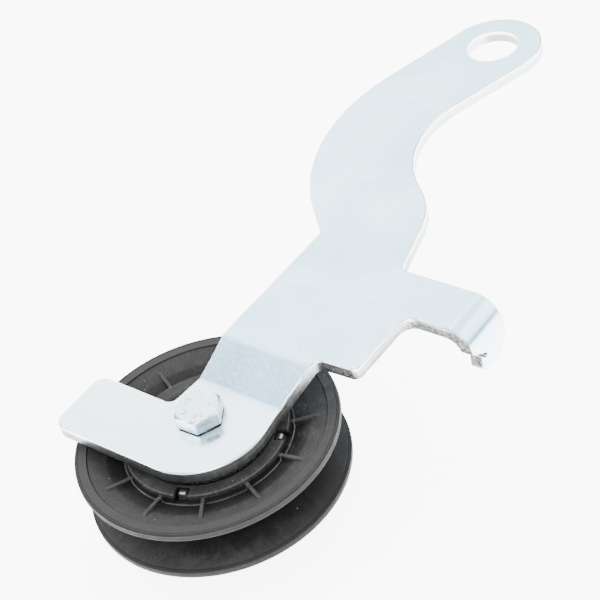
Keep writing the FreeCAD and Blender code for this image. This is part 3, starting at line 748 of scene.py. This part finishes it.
def dish_rows():
    """Rows up the dish: plain, and in a rib."""
    r = np.concatenate([np.linspace(25.75, 32.6, 19), [33.0, 33.25, 33.45, 33.6, 33.8, 34.4, 35.2]])
    plain = np.stack([r, dish_height(r), np.zeros(len(r))], axis=-1)
    tip_z = dish_height(RIB_OUTER_R)
    crest = np.interp(r, [24.4, RIB_OUTER_R - 0.6, RIB_OUTER_R], [RIB_TOP_Z, tip_z + 0.25, tip_z])
    wear = np.where(r < RIB_OUTER_R - 0.3, 0.35, 0.0)
    return plain, np.stack([r, np.maximum(crest, plain[:, 1]), wear], axis=-1)


def rim_rows():
    """Rows from the dish's edge over the land and the rim, down the groove and through the seat of
    the bearing to the collar's mouth. Only the outer edges are rubbed."""
    rows = rounded([
        (DISH_FOOT_R, DISH_FOOT_Z, 0), (LAND_R - 0.25, -DISH_STEP, 0.12), (LAND_R - 0.02, 0, 0.12),
        (RIM_WALL_R, 0, 0.45), (RIM_WALL_R, RIDGE_Z + 0.16, 0.03), (PULLEY_R, RIDGE_Z + 0.08, 0.03),
        (PULLEY_R, RIDGE_Z - 0.08, 0.03), (RIM_WALL_R, RIDGE_Z - 0.16, 0.03),
        (RIM_WALL_R, -RIM_EDGE, 0.22), (GROOVE_BOTTOM_R, GROOVE_BOTTOM_Z, 1.2),
        (GROOVE_BOTTOM_R, MID, 0.12), (BEARING_R, MID, 0.1), (BEARING_R, BEARING_TOP, 0.0),
        (LIP_R, BEARING_TOP, 0.0), (LIP_R, BEARING_TOP + 0.7, 0.1), (MOUTH_R, COLLAR_Z, 0),
    ], closed=False, guard=0.1)[1:-1]
    rows[rows[:, 0] < LAND_R + 0.3, 2] = 0.0
    return rows


def pulley_grid(has_windows):
    """Points and wear of the front half's shape."""
    hub, rib_hub, window_hub = hub_rows()
    dish, rib_dish = dish_rows()
    rim = rim_rows()
    plain = np.concatenate([hub, dish, rim])
    rib = np.concatenate([rib_hub, rib_dish, rim])
    window = np.concatenate([window_hub, dish, rim])
    columns = pulley_columns(has_windows)
    shares = np.array([station[2:] if fraction == 0 else (0.0, 0.0) for station, _, fraction in columns])
    rows = (plain[:, None] + shares[:, 0, None] * (rib - plain)[:, None]
            + shares[:, 1, None] * (window - plain)[:, None])
    return polar(rows[..., 0], column_angles(columns, plain[:, 0]), rows[..., 1]), rows[..., 2]


def claw_shell(angle):
    """A snap claw with a barbed, ridged nose, whose sides draw in towards its middle radius."""
    inner, outer = CLAW_R
    root = MID - 3.0
    loop = rounded([
        (inner, root, 0.1), (outer, root, 0.1), (outer, -3.42, 0.05), (outer + 0.85, -3.4, 0.12),
        (outer + 0.85, -2.95, 0.12), (outer + 0.45, -2.75, 0.08), (outer + 0.55, -2.45, 0.12),
        (outer + 0.15, -2.2, 0.08), (outer + 0.25, -1.95, 0.1), (outer - 0.1, CLAW_TIP_Z, 0.2),
        (inner, CLAW_TIP_Z, 0.2),
    ], guard=0.06)
    radius, height = loop[:, 0], loop[:, 1]
    half = CLAW_HALF_WIDTH
    offsets = np.array([-half, -half + 0.1, -half + 0.25, -0.9, -0.8,
                        0.8, 0.9, half - 0.25, half - 0.1, half])[:, None]
    drawn_in = np.array([0.12, 0.03, 0, 0, 0, 0, 0, 0, 0.03, 0.12])[:, None]
    out = radius + ((inner + outer) / 2.0 - radius) * drawn_in
    turn = math.radians(angle)
    points = np.stack([out * math.cos(turn) - offsets * math.sin(turn),
                       out * math.sin(turn) + offsets * math.cos(turn),
                       np.broadcast_to(height, out.shape)], axis=-1)
    # a painted glint on the middle of the nose's top
    nose_glint = (np.abs(offsets) < 0.85) & (height > CLAW_TIP_Z - 0.25) & (radius > outer - 0.5)
    barbs = np.where(radius > outer + 0.18, 1.0, 0.0)
    # the claw's sides get painted shade
    return capped_shell(points, np.where(nose_glint, PAINTED_GLINT, barbs), cap_wear=PAINTED_SHADE)


def build_pulley():
    points, wear = pulley_grid(has_windows=True)
    mesh_piece("pulley_front", [closed_shell(points, wear)], "pulley", "pulley_front_half",
               "pulley_nylon", sharp=48.0)
    points, wear = pulley_grid(has_windows=False)
    points = points * [1, 1, -1] + [0, 0, REAR_FACE]
    claws = [claw_shell(WINDOW_PHASE + k * 360.0 / WINDOW_COUNT) for k in range(WINDOW_COUNT)]
    mesh_piece("pulley_rear", [closed_shell(points, wear), *claws], "pulley", "pulley_rear_half",
               "pulley_nylon", sharp=48.0)


# ---- hexagonal hardware -------------------------------------------------------------------------
HEX_COLUMNS = 288
TURN = np.linspace(0, 2 * math.pi, HEX_COLUMNS, endpoint=False)


def hex_radius(turn):
    """The hexagon's radius in every direction. Its slightly rounded corners lie at turn + 60 k."""
    sharpness = 90.0
    faces = np.radians(turn + 30 + 60 * np.arange(6))
    closeness = np.clip(np.cos(TURN[None] - faces[:, None]), 0, 1) / (HEAD_FLATS / 2.0)
    return (closeness ** sharpness).sum(axis=0) ** (-1.0 / sharpness)


def level(radius, height, wear=0.0):
    return [np.broadcast_to(v, HEX_COLUMNS) for v in (radius, height, wear)]


def hex_side(turn, top, bottom, both_ends):
    """Rows down a hexagon, with a chamfer cone at the top or at both ends."""
    outline = hex_radius(turn)
    edge = HEAD_FLATS / 2.0 - 0.25
    near = (edge + outline) / 2.0
    fall = np.maximum(outline - edge, 0) * math.tan(math.radians(30))
    high = top - fall
    low = bottom + fall if both_ends else np.full(HEX_COLUMNS, bottom)
    rows = [level(edge - 0.25, top), level(edge, top - 0.03, 0.4),
            level(near, top - fall * 0.5 - 0.02, 0.3),
            level(outline - 0.12, high, 0.9), level(outline - 0.03, high - 0.05, 1.0),
            level(outline, high - 0.16, 0.6), level(outline, (high + low) / 2.0)]
    if both_ends:
        rows += [level(outline, low + 0.16, 0.6), level(outline - 0.03, low + 0.05, 1.0),
                 level(outline - 0.12, low, 0.9), level(near, bottom + fall * 0.5 + 0.02, 0.3),
                 level(edge, bottom + 0.03, 0.4), level(edge - 0.25, bottom)]
    else:
        rows += [level(outline, low + 0.2), level(outline - 0.02, low + 0.06, 0.8),
                 level(outline - 0.12, low, 0.8)]
    return rows


def thread_rows(top, bottom, pitch=1.25, depth=0.62, spacing=0.078):
    """Rows of a right-hand thread that fades in at the top and ends in a chamfer at the bottom."""
    rows = []
    for z in np.linspace(top, bottom, int(round((top - bottom) / spacing)) + 1):
        phase = (z / pitch - TURN / (2 * math.pi)) % 1.0
        ridge = np.clip(np.abs(phase - 0.5) * 2.6 - 0.25, 0, 1)
        cut_in = min(1.0, (top - z) / 0.8)
        radius = BOLT_R - 0.02 - depth * (1 - ridge) * cut_in
        rows.append(level(np.minimum(radius, BOLT_R - 0.75 + z - bottom), z, ridge * 0.6))
    return rows


def grid_from_rows(rows):
    radius, height, wear = (np.array([row[k] for row in rows]) for k in range(3))
    return polar(radius, TURN, height), wear


def head_marks(radius):
    """Share of the rise of plain dashes round the head's face, in every direction."""
    rise = np.zeros(HEX_COLUMNS)
    for degrees in (14, 74, 97, 158, 212, 236, 305):
        away = np.radians(np.abs((np.degrees(TURN) - degrees + 180) % 360 - 180)) * radius
        rise = np.maximum(rise, np.clip((0.42 - away) / 0.16, 0, 1))
    return rise


def build_bolt():
    face = HEAD_TOP - MARK_RISE - 0.01
    washer_face_r, washer_face_z = HEAD_FLATS / 2.0 - 0.3, FOOT_TOP + 0.42
    seat = FOOT_TOP + 0.005
    rows = [level(r, face - 0.10 + 0.02 * r) for r in (0.6, 1.5, 2.5, 3.2)]
    for r, share in ((3.4, 0.0), (3.55, 0.55), (3.7, 1.0), (4.3, 1.0), (4.9, 1.0), (5.05, 0.55),
                     (5.2, 0.0)):
        marks = share * head_marks(r)
        rows.append(level(r, face + MARK_RISE * marks, marks * 0.8))
    rows += [level(5.7, face)] + hex_side(HEAD_TURN, face, washer_face_z, both_ends=False)
    rows += [level(washer_face_r + 0.02, washer_face_z), level(washer_face_r, washer_face_z - 0.06),
             level(washer_face_r, FOOT_TOP + 0.04), level(washer_face_r - 0.04, seat),
             level(BOLT_R + 0.2, seat), level(BOLT_R, FOOT_TOP - 0.1)]
    rows += [level(BOLT_R, z) for z in (0.0, -8.0, -16.0, -24.0)]
    rows += thread_rows(-24.6, BOLT_END)
    rows += [level(2.4, BOLT_END + 0.01), level(1.2, BOLT_END + 0.06)]
    mesh_piece("bolt", [capped_shell(*grid_from_rows(rows))], "arm", "hex_bolt", "hardware_zinc", sharp=34.0)


def build_nut():
    bore = BOLT_R + 0.02
    pocket_top = INSERT_Z[1]
    rows = [level(bore, WASHER_BOTTOM - 0.35), level(bore + 0.3, WASHER_BOTTOM - 0.02, 0.4),
            level(bore + 0.5, WASHER_BOTTOM)]
    rows += hex_side(NUT_TURN, WASHER_BOTTOM, NUT_HEX_BOTTOM, both_ends=True)
    rows += [level(CROWN_R + 0.25, NUT_HEX_BOTTOM), level(CROWN_R + 0.06, NUT_HEX_BOTTOM - 0.06),
             level(CROWN_R, NUT_HEX_BOTTOM - 0.25), level(CROWN_R, NUT_BOTTOM + 0.8),
             level(CROWN_R - 0.05, NUT_BOTTOM + 0.5, 0.3), level(CROWN_R - 0.2, NUT_BOTTOM + 0.2, 0.6),
             level(CROWN_R - 0.45, NUT_BOTTOM + 0.03, 0.8), level(POCKET_R, NUT_BOTTOM, 0.5),
             level(POCKET_R - 0.12, NUT_BOTTOM + 0.06, 0.5), level(POCKET_R - 0.14, NUT_BOTTOM + 0.2),
             level(POCKET_R, NUT_BOTTOM + 0.28), level(POCKET_R, pocket_top), level(bore, pocket_top)]
    mesh_piece("lock_nut_body", [closed_shell(*grid_from_rows(rows))], "arm", "lock_nut",
               "hardware_zinc", sharp=34.0)


# ---- turned pieces ------------------------------------------------------------------------------
def build_bushes():
    """Two flanged bushes that meet inside the bearing, and the washer and nylon ring below them."""
    for side, node, face, end, fillet in (("front", "front_bush", BEARING_TOP, FOOT_UNDERSIDE, 0.25),
                                          ("rear", "rear_bush", BEARING_BOTTOM, BUSH_BOTTOM, 0.5)):
        lathe("bush_" + side, [
            (CLEARANCE_R, MID, 0.1), (BEARING_BORE_R, MID, 0.1), (BEARING_BORE_R, face, 0.0),
            (BUSH_FLANGE_R, face, 0.15), (BUSH_FLANGE_R, end, fillet), (CLEARANCE_R, end, 0.2),
        ], "arm", node, "bush_steel")
    lathe("washer", [
        (CLEARANCE_R, WASHER_BOTTOM, 0.25), (WASHER_R, WASHER_BOTTOM, 0.1),
        (WASHER_R, BUSH_BOTTOM, 0.35), (CLEARANCE_R, BUSH_BOTTOM, 0.1),
    ], "arm", "flat_washer", "hardware_zinc")
    low, high = INSERT_Z
    lathe("nut_ring", [(BOLT_R, low, 0.2), (POCKET_R, low, 0.1), (POCKET_R, high, 0.1), (BOLT_R, high, 0.1)],
          "arm", "nut_insert", "insert_nylon", columns=128)


def build_bearing():
    """The bearing's two rings, with their races, and its two seals."""
    race = [(RACE_R * math.cos(a), MID - RACE_R * math.sin(a)) for a in np.radians(np.linspace(40, -40, 9))]
    seat_top, seat_bottom = BEARING_TOP - SEAL_SEAT_DEPTH, BEARING_BOTTOM + SEAL_SEAT_DEPTH
    lathe("ring_outer", [
        (OUTER_SHOULDER_R, seat_top, 0.05), *[(PITCH_R + r, z, 0.0) for r, z in race[::-1]],
        (OUTER_SHOULDER_R, seat_bottom, 0.05), (SEAL_SEAT_R, seat_bottom, 0.05),
        (SEAL_SEAT_R, BEARING_BOTTOM, 0.15), (BEARING_R, BEARING_BOTTOM, 0.6),
        (BEARING_R, BEARING_TOP, 0.6), (SEAL_SEAT_R, BEARING_TOP, 0.15), (SEAL_SEAT_R, seat_top, 0.05),
    ], "pulley", "bearing_outer_ring", "bearing_steel")
    lathe("ring_inner", [
        (BEARING_BORE_R, BEARING_BOTTOM, 0.3), (INNER_SHOULDER_R, BEARING_BOTTOM, 0.4),
        *[(PITCH_R - r, z, 0.0) for r, z in race],
        (INNER_SHOULDER_R, BEARING_TOP, 0.4), (BEARING_BORE_R, BEARING_TOP, 0.3),
    ], "arm", "bearing_inner_ring", "bearing_steel")
    for side, face, inward in (("front", BEARING_TOP, -1), ("rear", BEARING_BOTTOM, 1)):
        section = [(12.2, 1.3, 0.05), (SEAL_SEAT_R, 1.3, 0.05), (SEAL_SEAT_R, 0.5, 0.15), (16.9, 0.42, 0.1),
                   (16.6, 0.62, 0.1), (13.6, 0.62, 0.1), (13.3, 0.45, 0.1), (12.2, 0.55, 0.1)]
        lathe("seal_" + side, [(r, face + inward * depth, fillet) for r, depth, fillet in section],
              "pulley", "bearing_seal_" + side, "seal_rubber")


# ---- floor, light and camera, in metres ---------------------------------------------------------
VIEW_TARGET = Vector((-0.132655, -0.013858, 0.0))
VIEW_DISTANCE = 0.491152
VIEW_ANGLES = (-41.628, 39.575, -17.271)        # azimuth, elevation and roll, degrees
LENS_MM = 97.82
SENSOR_MM = 36.0

LAMP_TARGET = Vector((-0.12, -0.01, -0.01))
LAMPS = [                                       # name, place, size, power in watts
    ("far_box", (0.20, 0.55, 0.60), (1.05, 1.05), 13.0),
    ("top_box", (-0.30, -0.10, 0.90), (0.6, 0.6), 4.0),
    ("left_box", (-0.68, 0.44, 0.38), (0.25, 0.5), 3.5),
    ("right_box", (0.36, -0.55, 0.42), (0.35, 0.55), 3.2),
    ("front_box", (-0.74, -0.46, 0.38), (0.4, 0.4), 7.5),
    ("roof_box", (0.42, -0.14, 0.80), (0.6, 0.8), 4.0),
]
SKY = [(0.0, 0.60), (0.30, 0.75), (0.52, 0.92), (0.72, 1.0)]    # brightness by the direction's height
SKY_STRENGTH = 1.5


def build_floor():
    """A wide plain floor just under the part."""
    z = cad_box[0][2] - 0.0002
    half = 15.0
    mesh = bpy.data.meshes.new("floor")
    mesh.from_pydata([(-half, -half, z), (half, -half, z), (half, half, z), (-half, half, z)], [],
                     [(0, 1, 2, 3)])
    floor = add_object("floor", mesh)
    paint(floor, floor_paint())


def build_sky():
    world = bpy.data.worlds.new("studio")
    bpy.context.scene.world = world
    world.use_nodes = True
    nodes, links = world.node_tree.nodes, world.node_tree.links
    direction = nodes.new("ShaderNodeTexCoord").outputs["Generated"]
    split = nodes.new("ShaderNodeSeparateXYZ")
    links.new(direction, split.inputs[0])
    ramp = nodes.new("ShaderNodeValToRGB")
    links.new(split.outputs[2], ramp.inputs[0])
    set_stops(ramp.color_ramp, [(height, (v * 0.985, v * 0.995, v)) for height, v in SKY])
    links.new(ramp.outputs[0], nodes["Background"].inputs[0])
    nodes["Background"].inputs[1].default_value = SKY_STRENGTH


def build_lamps():
    for name, where, size, power in LAMPS:
        light = bpy.data.lights.new(name, "AREA")
        light.shape = "RECTANGLE"
        light.energy = power
        light.size, light.size_y = size
        lamp = add_object(name, light)
        lamp.location = where
        lamp.rotation_euler = (LAMP_TARGET - Vector(where)).to_track_quat("-Z", "Y").to_euler()


def build_camera():
    """The photograph's view, fitted to the pulley's rims."""
    azimuth, elevation, roll = (math.radians(v) for v in VIEW_ANGLES)
    forward = Vector((-math.sin(azimuth) * math.cos(elevation), math.cos(azimuth) * math.cos(elevation),
                      -math.sin(elevation)))
    level_right = forward.cross(Vector((0, 0, 1))).normalized()
    level_up = level_right.cross(forward)
    right = level_right * math.cos(roll) + level_up * math.sin(roll)
    pose = Matrix((right, right.cross(forward), -forward)).transposed().to_4x4()
    pose.translation = VIEW_TARGET - forward * VIEW_DISTANCE
    lens = bpy.data.cameras.new("camera")
    lens.sensor_width = SENSOR_MM
    lens.lens = LENS_MM
    camera = add_object("camera", lens)
    camera.matrix_world = pose
    bpy.context.scene.camera = camera


# ---- the whole scene ----------------------------------------------------------------------------
build_pulley()
build_bolt()
build_nut()
build_bushes()
build_bearing()

paint(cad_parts["arm_plate"], zinc_arm())
cage_nylon = speckled("cage_nylon", (0.50, 0.45, 0.34), (0.64, 0.59, 0.47), 0.40, 0.55, 1500.0)
ball_steel = speckled("ball_steel", (0.62, 0.63, 0.65), (0.74, 0.75, 0.77), 0.07, 0.14, 2500.0,
                      metallic=1.0, grain_depth=0.00001)
paint(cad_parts["bearing_cage"], cage_nylon)
for k in range(BALL_COUNT):
    paint(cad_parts["bearing_ball_%d" % (k + 1)], ball_steel)

build_floor()
build_sky()
build_lamps()
build_camera()
